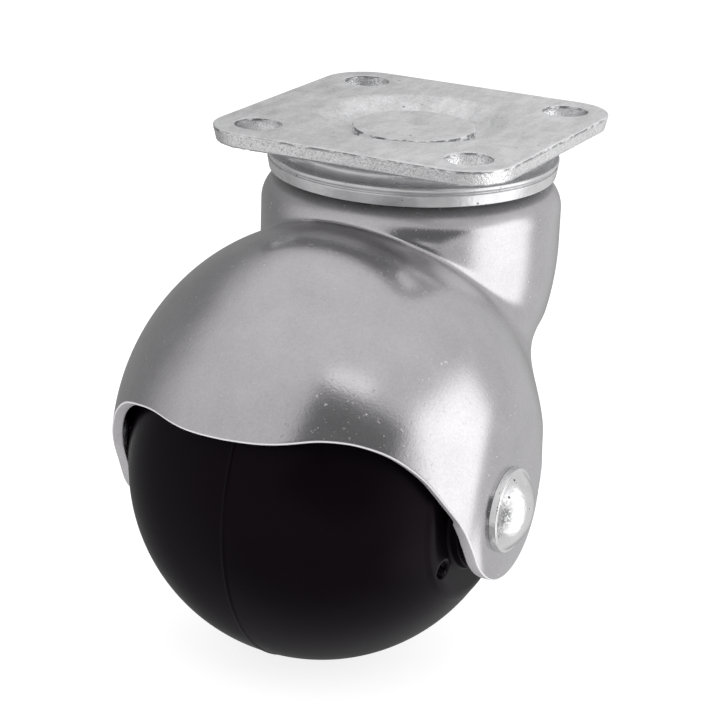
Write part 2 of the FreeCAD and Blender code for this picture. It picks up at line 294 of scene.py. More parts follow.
def rounded(corners):
    """Outline through (along, out, radius) corners, each rounded to its radius."""
    points = [np.array(corner[:2]) for corner in corners]
    outline = [points[0]]
    for before, (place, after), corner in zip(points, zip(points[1:], points[2:]), corners[1:]):
        radius = corner[2]
        back = (before - place) / np.linalg.norm(before - place)
        ahead = (after - place) / np.linalg.norm(after - place)
        half = math.acos(np.clip(back @ ahead, -1, 1)) / 2
        tangent = radius / math.tan(half)
        middle = back + ahead
        centre = place + middle / np.linalg.norm(middle) * radius / math.sin(half)
        start = place + back * tangent - centre
        end = place + ahead * tangent - centre
        sweep = math.pi - 2 * half
        outline.append(place + back * (tangent + ROUND_SUPPORT))
        for step in range(ROUND_STEPS + 1):
            share = step / ROUND_STEPS
            turn = math.sin((1 - share) * sweep) * start + math.sin(share * sweep) * end
            outline.append(centre + turn / math.sin(sweep))
        outline.append(place + ahead * (tangent + ROUND_SUPPORT))
    outline.append(points[-1])
    return np.array(outline)


def mesh_piece(name, corners, faces, **marks):
    """Smooth mesh object with doubles merged; marks are values per corner that the materials read."""
    mesh = bpy.data.meshes.new(name)
    mesh.from_pydata(corners.tolist(), [], faces)
    for name_of_mark, values in marks.items():
        attribute = mesh.attributes.new(name_of_mark, "FLOAT", "POINT")
        attribute.data.foreach_set("value", values.ravel().astype(np.float32))
    shape = bmesh.new()
    shape.from_mesh(mesh)
    bmesh.ops.remove_doubles(shape, verts=shape.verts, dist=MERGE_DISTANCE)
    bmesh.ops.recalc_face_normals(shape, faces=shape.faces)
    shape.to_mesh(mesh)
    shape.free()
    mesh.shade_smooth()
    piece = bpy.data.objects.new(name, mesh)
    bpy.context.scene.collection.objects.link(piece)
    return piece


def grid_piece(name, rows, closed, **marks):
    """Mesh over rows of points whose columns go round; closed joins the last row to the first."""
    count, columns = rows.shape[:2]
    last = count if closed else count - 1
    faces = []
    for row in range(last):
        low = row * columns
        high = (row + 1) % count * columns
        for column in range(columns):
            beside = (column + 1) % columns
            faces.append((low + column, low + beside, high + beside, high + column))
    return mesh_piece(name, rows.reshape(-1, 3), faces, **marks)


def turned_rows(outline, base, along, out, angles):
    """Rows of points of an (along, out) outline turned about an axis."""
    across = np.cross(along, out)
    spokes = np.cos(angles)[:, None] * out + np.sin(angles)[:, None] * across
    return base + outline[:, None, :1] * along + outline[:, None, 1:] * spokes[None]


def turned_piece(name, outline, closed, segments, base=(0, 0, 0), along=(0, 0, 1), out=(1, 0, 0), **marks):
    """Mesh of an (along, out) outline turned about an axis; closed joins its two ends."""
    angles = np.arange(segments) * FULL_TURN / segments
    rows = turned_rows(outline, np.array(base, float), np.array(along, float), np.array(out, float), angles)
    return grid_piece(name, rows, closed, **marks)


# Hood

def smooth_union(first, second, width):
    """Smaller of two distances, with a blend of the given width where they are alike."""
    near = np.maximum(width - np.abs(first - second), 0) / width
    return np.minimum(first, second) - near * near * width / 4


def neck_wall(level):
    """Radius of the neck's wall: straight, then an arc that draws in, then its tangent."""
    arc_top = YOKE_TOP - SHOULDER_RADIUS - NECK_STRAIGHT
    arc_drop = NECK_BARREL * math.sin(NECK_TAPER)
    drop = np.clip(arc_top - level, 0, arc_drop)
    arc = NECK_RADIUS - NECK_BARREL + np.sqrt(NECK_BARREL ** 2 - drop ** 2)
    below = np.maximum(arc_top - arc_drop - level, 0)
    return arc - below * math.tan(NECK_TAPER)


def dome_field(place):
    """About how far a place lies outside the dome with its flat sides; negative inside."""
    from_centre = place - HOOD_CENTRE
    reach = np.linalg.norm(from_centre / HOOD_HALF_AXES, axis=-1)
    steepness = np.linalg.norm(from_centre / HOOD_HALF_AXES ** 2, axis=-1)
    dome = reach * (reach - 1) / np.maximum(steepness, NOT_ZERO)
    pad_out = np.hypot(place[..., 1] - AXLE[1] - LEG_PAD_SHIFT, place[..., 2] - AXLE[2] + LEG_PAD_SHIFT)
    dome = smooth_union(dome, pad_out - LEG_PAD_RADIUS, LEG_PAD_BLEND)
    beside_leg = np.abs(place[..., 0]) - LEG_OUTSIDE
    return -smooth_union(-dome, -beside_leg, FLAT_BLEND)


def neck_field(place):
    """How far a place lies outside the neck; negative inside."""
    level = place[..., 2]
    out = np.hypot(place[..., 0], place[..., 1]) - neck_wall(level) + SHOULDER_RADIUS
    up = level - YOKE_TOP + SHOULDER_RADIUS
    outside = np.hypot(np.maximum(out, 0), np.maximum(up, 0))
    inside = np.minimum(np.maximum(out, up), 0)
    return outside + inside - SHOULDER_RADIUS


def hood_field(place):
    """About how far a place lies outside the hood's outer skin; negative inside."""
    fade = np.clip((CREASE_LEVEL - place[..., 2]) / (CREASE_LEVEL - WAIST_LEVEL), 0, 1)
    blend = CREASE_BLEND + (WAIST_BLEND - CREASE_BLEND) * fade ** 2
    return smooth_union(dome_field(place), neck_field(place), blend)


def drawn_metal(place):
    """1 on the shoulder and on the dome along the neck, where the press left rougher metal; 0 elsewhere."""
    past_crease = neck_field(place) - dome_field(place)
    on_dome = np.clip(past_crease / DRAWN_FADE, 0, 1)
    on_dome *= np.clip(DRAWN_FULL - past_crease / DRAWN_WIDTH, 0, 1)
    on_shoulder = np.clip((place[..., 2] - YOKE_TOP + DRAWN_SHOULDER) / DRAWN_FADE, 0, 1)
    return np.maximum(on_dome, on_shoulder)


def dull_and_shaded_shoulder(place):
    """1 on the top of the shoulder under the race cup, which is made matt and painted darker there as
    painted shade; 0 elsewhere.
    """
    return np.clip((place[..., 2] - YOKE_TOP + SHADED_SHOULDER_DEPTH) / SHADED_SHOULDER_FADE, 0, 1)


def hood_normals(place):
    """Directions straight out of the hood's skin."""
    step = 0.02 * MM
    slopes = [hood_field(place + step * axis) - hood_field(place - step * axis) for axis in np.eye(3)]
    slope = np.stack(slopes, axis=-1)
    return slope / np.linalg.norm(slope, axis=-1, keepdims=True)


def reach_skin(start, direction, furthest):
    """Distance along each direction at which the hood's skin is met."""
    near = np.zeros(direction.shape[:-1])
    far = np.full(direction.shape[:-1], furthest)
    for _ in range(SKIN_HALVINGS):
        middle = (near + far) / 2
        inside = hood_field(start + direction * middle[..., None]) < 0
        near = np.where(inside, middle, near)
        far = np.where(inside, far, middle)
    return (near + far) / 2


def curve_through(points, start_slope, end_slope, steps):
    """Smooth curve through points of a side view, with given slopes at its ends."""
    points = np.array(points)
    gaps = np.linalg.norm(np.diff(points, axis=0), axis=1)
    slopes = np.diff(points, axis=0) / gaps[:, None]
    weighted = slopes[:-1] * gaps[1:, None] + slopes[1:] * gaps[:-1, None]
    inner_slopes = weighted / (gaps[1:] + gaps[:-1])[:, None]
    tangents = np.vstack([[start_slope], inner_slopes, [end_slope]])
    share = np.linspace(0, 1, steps, endpoint=False)[:, None]
    of_first = 2 * share ** 3 - 3 * share ** 2 + 1
    of_leaving = share ** 3 - 2 * share ** 2 + share
    of_second = 3 * share ** 2 - 2 * share ** 3
    of_arriving = share ** 3 - share ** 2
    curve = []
    for first, second, gap, leave, arrive in zip(points, points[1:], gaps, tangents, tangents[1:]):
        curve.append(of_first * first + of_leaving * gap * leave
                     + of_second * second + of_arriving * gap * arrive)
    return np.vstack(curve)


def side_outline():
    """Lower edge of the hood seen from the side, front to back, relative to the axle."""
    turns = np.linspace(LEG_FRONT_TURN, LEG_BACK_TURN, LEG_END_STEPS)
    leg_end = LEG_END_RADIUS * np.stack([np.cos(turns), np.sin(turns)], axis=1) + (LEG_END_SHIFT, 0)
    front_slope = (-math.sin(LEG_FRONT_TURN), math.cos(LEG_FRONT_TURN))
    back_slope = (-math.sin(LEG_BACK_TURN), math.cos(LEG_BACK_TURN))
    front = curve_through([*FRONT_EDGE, leg_end[0]], (1, 0), front_slope, EDGE_CURVE_STEPS)
    back = curve_through([leg_end[-1], *BACK_EDGE], back_slope, (1, 0), EDGE_CURVE_STEPS)
    return np.vstack([front, leg_end[:-1], back])


def hood_lip(count):
    """Points of the hood's lower edge, evenly spaced all the way round."""
    outline = side_outline()
    middle = np.zeros((len(outline), 3))
    middle[:, 1:] = outline + AXLE[1:]
    inside = middle[hood_field(middle) < 0]
    ahead = np.array([[0, -1.0, 0]])
    front = inside[:1] + ahead * reach_skin(inside[:1], ahead, BALL_RADIUS)[:, None]
    back = inside[-1:] - ahead * reach_skin(inside[-1:], -ahead, BALL_RADIUS)[:, None]
    slant = np.clip((inside[:, 1] - AXLE[1] - SLANT_START) / (SLANT_FULL - SLANT_START), 0, 1)
    sides = []
    for side in (1, -1):
        sideways = np.tile([float(side), 0, 0], (len(inside), 1))
        upright = inside + sideways * reach_skin(inside, sideways, 2 * LEG_OUTSIDE)[:, None]
        level = inside.copy()
        level[:, 2] += VISOR_SLANT * slant * upright[:, 0]
        sides.append(level + sideways * reach_skin(level, sideways, 2 * LEG_OUTSIDE)[:, None])
    right, left = sides
    loop = np.vstack([front, right, back, left[::-1], front])
    walked = np.concatenate([[0], np.cumsum(np.linalg.norm(np.diff(loop, axis=0), axis=1))])
    places = np.arange(count) * walked[-1] / count
    return np.stack([np.interp(places, walked, loop[:, axis]) for axis in range(3)], axis=1)


def hood_skin():
    """Rows of points over the hood's outer skin, closer where it bends, from the pin's hole to the lip."""
    lip = hood_lip(SKIN_COLUMNS) - SKIN_CENTRE
    turn = np.arctan2(lip[:, 1], lip[:, 0])
    lip_rise = np.arctan2(lip[:, 2], np.hypot(lip[:, 0], lip[:, 1]))
    hole_rise = math.atan2(YOKE_TOP - SKIN_CENTRE[2], KINGPIN_HOLE)

    def skin(share):
        rise = hole_rise + (lip_rise - hole_rise) * share
        level = np.cos(rise)
        direction = np.stack([level * np.cos(turn), level * np.sin(turn), np.sin(rise)], axis=-1)
        return SKIN_CENTRE + direction * reach_skin(SKIN_CENTRE, direction, SKIN_REACH)[..., None]

    fine = np.tile(np.linspace(0, 1, SKIN_SAMPLES)[:, None], (1, SKIN_COLUMNS))
    path = skin(fine)
    steps = np.linalg.norm(np.diff(path, axis=0), axis=-1)
    normals = hood_normals(path)
    bend = np.arccos(np.clip((normals[1:] * normals[:-1]).sum(axis=-1), -1, 1))
    weight = steps + BEND_WEIGHT * bend
    for _ in range(WEIGHT_SMOOTHINGS):
        weight = (np.roll(weight, 1, axis=1) + weight + np.roll(weight, -1, axis=1)) / 3
    walked = np.vstack([np.zeros(SKIN_COLUMNS), np.cumsum(weight, axis=0)])
    walked /= walked[-1]
    even = np.linspace(0, 1, SKIN_ROWS)
    shares = [np.interp(even, walked[:, i], fine[:, i]) for i in range(SKIN_COLUMNS)]
    return skin(np.stack(shares, axis=1))


def press_track(rows, radius, section):
    """Depth of a ball track pressed into the flat top of the sheet; 0 away from it."""
    aside = np.abs(np.hypot(rows[..., 0], rows[..., 1]) - radius)
    depth = np.sqrt(np.maximum(section ** 2 - aside ** 2, 0)) - section + TRACK_DEPTH
    return np.where(rows[..., 2] > YOKE_TOP - FLAT_TOP_ZONE, np.maximum(depth, 0), 0)


def corner_bend(before, corner, after):
    """Rows of points that round off a corner between two neighbouring rows."""
    shares = np.linspace(0, 1, CORNER_ROWS)
    return [(1 - s) ** 2 * before + 2 * s * (1 - s) * corner + s ** 2 * after for s in shares]


def make_hood():
    """One sheet: outer skin, rounded lower edge and inner skin, with both ball tracks at the top."""
    outer = hood_skin()
    normals = hood_normals(outer)

    # The sheet's edge is square to the skin on the visor and runs straight sideways on the legs
    lip = outer[-1]
    lip_normal = normals[-1]
    forward = np.roll(lip, -1, axis=0) - np.roll(lip, 1, axis=0)
    down = np.cross(forward, lip_normal)
    down /= np.linalg.norm(down, axis=1, keepdims=True)
    down *= np.sign((down * (lip - outer[-3])).sum(axis=1, keepdims=True))
    below = LEG_CUT_HEIGHT - lip[:, 2:] + AXLE[2]
    widening = LEG_CUT_STEP + (1 - LEG_CUT_STEP) * np.clip(below / LEG_CUT_RUN, 0, 1)
    on_leg = widening * np.clip(below / LEG_CUT_FADE + 0.5, 0, 1)
    sideways = np.zeros_like(lip)
    faces_sideways = np.abs(lip_normal[:, 0]) > LEG_NORMAL_LEAST
    sideways[:, 0] = 1 / np.where(faces_sideways, lip_normal[:, 0], 1)
    through = -SHEET * (on_leg * sideways + (1 - on_leg) * lip_normal)
    bend = LEG_ROUND * on_leg + VISOR_ROUND * (1 - on_leg)
    inside = through / np.linalg.norm(through, axis=1, keepdims=True)
    inner_lip = lip + through
    edge = corner_bend(lip - bend * down, lip, lip + bend * inside)
    edge += corner_bend(inner_lip - LEG_ROUND * inside, inner_lip, inner_lip - LEG_ROUND * down)

    inner = (outer - SHEET * normals)[-2::-1]
    outer[..., 2] -= press_track(outer, UPPER_TRACK_RADIUS, UPPER_TRACK_SECTION)
    inner[..., 2] += press_track(inner, LOWER_TRACK_RADIUS, LOWER_TRACK_SECTION)
    rows = np.concatenate([outer[:-1], np.array(edge), inner])

    # Between the two rounded corners of the edge lies its cut face
    cut = np.zeros(rows.shape[:2])
    burr_and_highlight = np.zeros(rows.shape[:2])
    edge_start = len(outer) - 1
    edge_middle = edge_start + CORNER_ROWS
    edge_end = edge_middle + CORNER_ROWS
    cut[edge_middle - CUT_FACE_ROWS:edge_middle + CUT_FACE_ROWS] = 1
    # The burred corners of the edge: the material paints them near white, a painted highlight
    burr_and_highlight[edge_start + 1:edge_middle - CUT_FACE_ROWS] = 1
    burr_and_highlight[edge_middle + CUT_FACE_ROWS:edge_end - 1] = 1
    marks = {"cut": cut, "burr_and_highlight": burr_and_highlight, "drawn": drawn_metal(rows), "dull_and_shaded": dull_and_shaded_shoulder(rows)}
    return grid_piece("hood", rows, True, **marks)


# Ball

def make_ball():
    """Ball with flat sides, hubs, a raised seam round its middle and the moulding gate on one flat."""
    # Half of the outline, from the bore over hub, flat, shoulder and sphere to the seam
    shoulder_along = BALL_FLAT - BALL_FLAT_ROUND
    shoulder_out = math.sqrt((BALL_RADIUS - BALL_FLAT_ROUND) ** 2 - shoulder_along ** 2)
    tangent = math.atan2(shoulder_out, shoulder_along)
    hub = rounded([
        (0, BALL_BORE, 0),
        (BALL_HALF_WIDTH, BALL_BORE, HUB_BORE_ROUND),
        (BALL_HALF_WIDTH, HUB_NOSE_RADIUS, HUB_NOSE_ROUND),
        (HUB_RING_END, HUB_NOSE_RADIUS, HUB_NOSE_ROUND),
        (HUB_RING_END, HUB_RING_RADIUS, HUB_RING_ROUND),
        (BALL_FLAT, HUB_RING_RADIUS, HUB_FOOT_ROUND),
        (BALL_FLAT, shoulder_out, 0),
    ])[:-1]
    flat_out = np.linspace(hub[-1][1], shoulder_out, BALL_FLAT_ROWS + 1)[1:]
    flat = np.stack([np.full(BALL_FLAT_ROWS, BALL_FLAT), flat_out], axis=1)
    turns = np.linspace(0, tangent, BALL_SHOULDER_ROWS + 1)[1:]
    shoulder = np.stack([shoulder_along + BALL_FLAT_ROUND * np.cos(turns),
                         shoulder_out + BALL_FLAT_ROUND * np.sin(turns)], axis=1)
    seam_turn = math.pi / 2 - SEAM_FOOT / BALL_RADIUS
    turns = np.linspace(tangent, seam_turn, BALL_SPHERE_ROWS + 1)[1:]
    sphere = BALL_RADIUS * np.stack([np.cos(turns), np.sin(turns)], axis=1)
    sphere *= 1 - SEAM_HEIGHT / BALL_RADIUS
    seam = np.array([
        (SEAM_HALF_WIDTH, BALL_RADIUS - SEAM_HEIGHT),
        (SEAM_HALF_WIDTH / 2, BALL_RADIUS),
        (0, BALL_RADIUS),
    ])
    half = np.vstack([hub, flat, shoulder, sphere, seam])
    mirrored = half[-2:0:-1] * np.array([-1, 1])
    outline = np.vstack([half, mirrored])

    # The columns are closer near the gate, a pit in the flat with a nub beside its middle
    near_gate = np.linspace(-1, 1, GATE_COLUMNS) * GATE_MESH_REACH * GATE_PIT_RADIUS / GATE_REACH
    near_gate += GATE_ANGLE
    coarse = np.linspace(near_gate[-1], near_gate[0] + FULL_TURN, BALL_COLUMNS + 2)[1:-1]
    angles = np.concatenate([near_gate, coarse])
    rows = turned_rows(outline, AXLE, np.array([1.0, 0, 0]), np.array([0, 1.0, 0]), angles)
    gate = AXLE + GATE_REACH * np.array([0, math.cos(GATE_ANGLE), math.sin(GATE_ANGLE)])
    aside = np.hypot((rows[..., 1] - gate[1]) / GATE_STRETCH, rows[..., 2] - gate[2])
    on_flat = rows[..., 0] > shoulder_along
    nub_aside = np.hypot(rows[..., 1] - gate[1] - GATE_NUB_SHIFT, rows[..., 2] - gate[2] + GATE_NUB_SHIFT)
    pit = 1 / (1 + (aside / GATE_PIT_RADIUS) ** GATE_PIT_STEEPNESS)
    nub = 1 / (1 + (nub_aside / GATE_NUB_RADIUS) ** GATE_NUB_STEEPNESS)
    rows[..., 0] += on_flat * (GATE_NUB_HEIGHT * nub - GATE_PIT_DEPTH * pit)
    return grid_piece("ball", rows, True)


# Top plate

def square_ring(setback):
    """Points of the plate's outline, moved inwards by a setback."""
    corner = PLATE_CORNER - setback
    flat = PLATE_HALF - PLATE_CORNER
    arc = np.linspace(0, math.pi / 2, PLATE_CORNER_POINTS)
    run = np.linspace(flat, -flat, PLATE_SIDE_POINTS + 2)[1:-1]
    x = np.concatenate([flat + corner * np.cos(arc), run])
    y = np.concatenate([flat + corner * np.sin(arc), np.full(len(run), flat + corner)])
    points = []
    for quarter in range(4):
        turn = quarter * math.pi / 2
        turned_x = x * math.cos(turn) - y * math.sin(turn)
        turned_y = x * math.sin(turn) + y * math.cos(turn)
        points += list(zip(turned_x, turned_y))
    return points


def circle(centre, radius, count):
    angles = np.arange(count) * FULL_TURN / count
    return [(centre[0] + radius * math.cos(a), centre[1] + radius * math.sin(a)) for a in angles]


def outline_depth(x, y):
    """How far inside the plate's outline a point lies."""
    flat = PLATE_HALF - PLATE_CORNER
    out_x = np.maximum(np.abs(x) - flat, 0)
    out_y = np.maximum(np.abs(y) - flat, 0)
    inner = np.minimum(np.maximum(np.abs(x) - flat, np.abs(y) - flat), 0)
    return PLATE_CORNER - np.hypot(out_x, out_y) - inner


def hole_centres():
    half = HOLE_SPACING / 2
    return [(x, y) for x in (-half, half) for y in (-half, half)]


def hole_depth(x, y):
    """How far outside the nearest bolt hole's wall a point lies."""
    return np.min([np.hypot(x - cx, y - cy) for cx, cy in hole_centres()], axis=0) - HOLE_RADIUS


def rolled(depth, radius):
    """Fall of a rounded edge at a distance from the edge."""
    short = np.clip(radius - depth, 0, radius)
    return radius - np.sqrt(radius ** 2 - short ** 2)


def dish_fall(x, y, rim):
    """Depth of the pressed dish at a point, from nothing at the given rim."""
    share = np.clip((rim - np.hypot(x, y)) / (rim - DISH_FLOOR), 0, 1)
    return DISH_DEPTH * share * share * (3 - 2 * share)


def roughness_of_shear(places, size):
    """Random shifts of places on a sheared face, which follow from the seed that was set."""
    return np.array([field_noise.noise_vector(Vector(place) / size) for place in places])


def plate_face():
    """Flat triangles over the plate between its holes, finer along its edges."""
    rings = [square_ring(setback) for setback in EDGE_SETBACKS]
    for centre in hole_centres():
        rings += [circle(centre, HOLE_RADIUS + setback, HOLE_POINTS) for setback in HOLE_SETBACKS]
    for radius in np.arange(PIN_BORE, DISH_RIM + DISH_SPACING, DISH_SPACING):
        rings.append(circle((0, 0), radius, DISH_POINTS))
    points = []
    edges = []
    for ring in rings:
        first = len(points)
        points += ring
        edges += [(first + i, first + (i + 1) % len(ring)) for i in range(len(ring))]
    grid = np.arange(-PLATE_HALF, PLATE_HALF, GRID_SPACING)
    x, y = (axis.ravel() for axis in np.meshgrid(grid, grid))
    free = outline_depth(x, y) > GRID_OFF_EDGE
    free &= hole_depth(x, y) > GRID_OFF_HOLE
    free &= np.hypot(x, y) > DISH_RIM + GRID_OFF_DISH
    points += list(zip(x[free], y[free]))
    flat = delaunay_2d_cdt([Vector(point) for point in points], edges, [], 0, SAME_POINT)
    places = np.array(flat[0])
    triangles = np.array(flat[2])
    middle = places[triangles].mean(axis=1)
    kept = (outline_depth(*middle.T) > 0) & (hole_depth(*middle.T) > 0)
    kept &= np.hypot(*middle.T) > PIN_BORE
    return places, triangles[kept]


def make_plate():
    """Plate with rolled upper edges, a pressed dish, torn sheared walls and a ragged lower edge."""
    # Upper and lower face
    places, triangles = plate_face()
    x, y = places.T
    edge = outline_depth(x, y)
    hole = hole_depth(x, y)
    top = -rolled(edge, PLATE_ROLL) - rolled(hole, HOLE_ROLL) - dish_fall(x, y, DISH_RIM)
    ragged = np.array([field_noise.noise(Vector((px, py, 0)) / BURR_GRAIN) for px, py in places])
    burr_and_highlight = BURR_HEIGHT * ragged * np.exp(-np.maximum(np.minimum(edge, hole), 0) / BURR_REACH)
    under = -PLATE_THICKNESS - dish_fall(x, y, DISH_RIM_UNDER) + burr_and_highlight
    pull = PLATE_DRAFT / PLATE_HALF * np.clip(1 - edge / PLATE_DRAFT_REACH, 0, 1)
    upper = np.stack([x, y, top], axis=1)
    lower = np.stack([x * (1 - pull), y * (1 - pull), under], axis=1)
    count = len(places)

    # The rim is made of the sides that no second triangle shares
    sides = np.vstack([triangles[:, [0, 1]], triangles[:, [1, 2]], triangles[:, [2, 0]]]).tolist()
    seen = {tuple(side) for side in sides}
    rim = sorted(side for side in seen if (side[1], side[0]) not in seen)
    rim_points = sorted({corner for side in rim for corner in side})
    place_in_rim = {corner: i for i, corner in enumerate(rim_points)}

    # Rows of the sheared walls between both faces; the seed keeps their shifts the same in each run
    field_noise.seed_set(SHEAR_SEED)
    walls = []
    for share in np.linspace(0, 1, SHEAR_ROWS + 2)[1:-1]:
        row = upper[rim_points] * (1 - share) + lower[rim_points] * share
        torn = SHEAR_ROUGHNESS * min(1, SHEAR_LEAST + SHEAR_TEAR_RISE * max(0, share - SHEAR_TEAR_START))
        torn *= min(1, SHEAR_END_FALL * (1 - share))
        walls.append(row + torn * roughness_of_shear(row, SHEAR_GRAIN) * np.array([1, 1, 0]))
    corners = np.vstack([upper, lower, *walls])
    faces = triangles.tolist() + (triangles[:, ::-1] + count).tolist()
    wall_start = 2 * count

    def wall_column(corner):
        """Corners of the wall from the upper face to the lower one, under one point of the rim."""
        uppermost = wall_start + place_in_rim[corner]
        return [corner, *(uppermost + i * len(rim_points) for i in range(SHEAR_ROWS)), corner + count]

    for first, second in rim:
        column = wall_column(first)
        beside = wall_column(second)
        faces += [(b, a, c, d) for a, b, c, d in zip(column, beside, column[1:], beside[1:])]
    cut = np.zeros(len(corners))
    cut[wall_start:] = 1
    grime = np.zeros(len(corners))
    grime[rim_points] = 1
    grime[wall_start:wall_start + len(rim_points)] = UPPER_ROW_GRIME
    return mesh_piece("plate", corners, faces, cut=cut, grime=grime)


# Turned small parts

def make_kingpin():
    """Pin with a flat head in the dish, a shoulder for the lower race and a riveted end."""
    head_under = -DISH_DEPTH
    pin_shoulder = LOWER_RACE_UNDER + LOWER_RACE_SHEET
    outline = rounded([
        (HEAD_TOP, 0, 0),
        (HEAD_TOP, HEAD_RADIUS, PIN_HEAD_ROUND),
        (head_under, HEAD_RADIUS, FINE_ROUND),
        (head_under, PIN_RADIUS, FINE_ROUND),
        (pin_shoulder, PIN_RADIUS, FINE_ROUND),
        (pin_shoulder, PIN_TIP_RADIUS, FINE_ROUND),
        (LOWER_RACE_UNDER, PIN_TIP_RADIUS, FINE_ROUND),
        (LOWER_RACE_UNDER, PIN_RIVET_RADIUS, FINE_ROUND),
        (LOWER_RACE_UNDER - PIN_RIVET_EDGE, PIN_RIVET_RADIUS, PIN_RIVET_ROUND),
        (PIN_END, PIN_TIP_RADIUS, PIN_END_ROUND),
        (PIN_END, 0, 0),
    ])
    # The side of the head is marked to be painted dark: a painted shadow of the gap between the head and
    # the dish
    head_side = (outline[:, 1] > HEAD_RADIUS - FINE_ROUND) & (outline[:, 0] < HEAD_TOP)
    grime = np.tile(head_side[:, None], (1, TURNED_SEGMENTS))
    return turned_piece("kingpin_pin", outline, False, TURNED_SEGMENTS, grime=grime)


def make_race_cup():
    """Ring with a flange under the plate, a wall and a rim; its outline is closed."""
    rim_top = RACE_UNDER + RACE_RIM_HEIGHT
    under_plate = -PLATE_THICKNESS
    race_face = under_plate - RACE_SHEET
    inner_wall = RACE_WALL - RACE_SHEET
    outline = rounded([
        (under_plate, RACE_BORE, 0),
        (under_plate, inner_wall, RACE_TOP_ROUND),
        (race_face, RACE_WALL, RACE_WALL_ROUND),
        (rim_top, RACE_WALL, RACE_FLARE),
        (rim_top, RACE_RADIUS, RACE_ROUND),
        (rim_top - RACE_BEAD_HEIGHT, RACE_RADIUS, RACE_ROUND),
        (rim_top - RACE_GROOVE_DROP, RACE_RADIUS - RACE_GROOVE_DEPTH, FINE_ROUND),
        (rim_top - RACE_BAND_DROP, RACE_RADIUS - RACE_BAND_SETBACK, RACE_BAND_ROUND),
        (RACE_UNDER, RACE_RADIUS - RACE_FOOT_SETBACK, RACE_FOOT_ROUND),
        (RACE_UNDER, inner_wall, RACE_ROUND),
        (race_face, inner_wall, RACE_ROUND),
        (race_face, RACE_BORE, FINE_ROUND),
        (under_plate, RACE_BORE, 0),
    ])[:-1]
    return turned_piece("race_ring", outline, True, RACE_SEGMENTS)


def make_rivet():
    """Axle with a flanged, domed head at each end; a place on the domes is marked as grime, and the
    material darkens it as pits with a painted dark reflection.
    """
    flange_end = LEG_OUTSIDE + RIVET_FLANGE_HEIGHT
    dome_radius = RIVET_RADIUS - RIVET_FLANGE_STEP
    dome_height = RIVET_END - flange_end
    sphere = (dome_radius ** 2 + dome_height ** 2) / (2 * dome_height)
    turns = np.linspace(math.asin(dome_radius / sphere), 0, RIVET_DOME_ROWS)
    dome = np.stack([RIVET_END - sphere + sphere * np.cos(turns), sphere * np.sin(turns)], axis=1)
    flange = rounded([
        (0, RIVET_SHANK, 0),
        (LEG_OUTSIDE, RIVET_SHANK, FINE_ROUND),
        (LEG_OUTSIDE, RIVET_RADIUS, RIVET_FOOT_ROUND),
        (flange_end, RIVET_RADIUS - RIVET_FLANGE_DRAFT, RIVET_FLANGE_ROUND),
        (flange_end, dome_radius, RIVET_DOME_ROUND),
        (*dome[1], 0),
    ])[:-1]
    half = np.vstack([flange, dome[2:]])
    outline = np.vstack([half[:0:-1] * np.array([-1, 1]), half])
    turns = np.arange(TURNED_SEGMENTS) * FULL_TURN / TURNED_SEGMENTS
    # The marked place is darkened in the material: pits with a painted dark reflection
    round_axle = np.exp(-((turns - DARK_PATCH_ANGLE) / DARK_PATCH_TURN) ** 2)
    out_from_axle = np.exp(-((outline[:, 1] - DARK_PATCH_REACH) / DARK_PATCH_WIDTH) ** 2)
    on_dome = np.abs(outline[:, 0]) > flange_end
    grime = (out_from_axle * on_dome)[:, None] * round_axle
    return turned_piece("rivet", outline, False, TURNED_SEGMENTS, AXLE, (1, 0, 0), (0, 1, 0), grime=grime)


# Materials

def new_material(name):
    material = bpy.data.materials.new(name)
    material.use_nodes = True
    tree = material.node_tree
    return material, tree, tree.nodes["Principled BSDF"]


def node(tree, kind, inputs, **settings):
    """New node with its settings; an input is a value or the output of another node."""
    made = tree.nodes.new(kind)
    for setting, value in settings.items():
        setattr(made, setting, value)
    for name, value in inputs.items():
        if isinstance(value, bpy.types.NodeSocket):
            tree.links.new(value, made.inputs[name])
        else:
            made.inputs[name].default_value = value
    return made


def surface_place(tree):
    return tree.nodes.new("ShaderNodeTexCoord").outputs["Object"]


def mark(tree, name):
    """A mark of the mesh, from 0 to 1.

    cut: faces left by shears and punches. burr: the burred corners of the hood's edge, painted near white
    as a painted highlight.
    grime: where the plate's edges get grimy, the side of the kingpin's head painted dark as a painted
    shadow, and a place on the rivet's domes darkened as pits with a painted dark reflection.
    drawn: where the press left rougher metal. dull: the top of the hood's shoulder, made matt and painted
    darker as painted shade under the race cup.
    """
    return node(tree, "ShaderNodeAttribute", {}, attribute_name=name).outputs["Fac"]


def noise(tree, place, size, detail=3.0, roughness=0.55):
    """Cloudy pattern whose features are about the given size."""
    made = node(tree, "ShaderNodeTexNoise",
                {"Vector": place, "Scale": 1 / size, "Detail": detail, "Roughness": roughness})
    return made.outputs["Fac"]


def spread(tree, value, low, high, to_low, to_high):
    """Value mapped from one range to another, kept within it."""
    made = node(tree, "ShaderNodeMapRange",
                {"Value": value, "From Min": low, "From Max": high, "To Min": to_low, "To Max": to_high})
    return made.outputs["Result"]


def clouded(tree, pattern, to_low, to_high):
    """A noise pattern mapped to a range."""
    return spread(tree, pattern, NOISE_LOW, NOISE_HIGH, to_low, to_high)


def stretched(tree, place, turn, scale):
    """Places scaled along each direction and then turned, so that a pattern over them runs in streaks."""
    made = node(tree, "ShaderNodeMapping", {"Vector": place, "Rotation": turn, "Scale": scale})
    return made.outputs["Vector"]


def combine(tree, operation, first, second):
    return node(tree, "ShaderNodeMath", {0: first, 1: second}, operation=operation).outputs["Value"]


def plus(tree, first, second):
    return combine(tree, "ADD", first, second)


def minus(tree, first, second):
    return combine(tree, "SUBTRACT", first, second)


def times(tree, first, second):
    return combine(tree, "MULTIPLY", first, second)


def larger(tree, first, second):
    return combine(tree, "MAXIMUM", first, second)


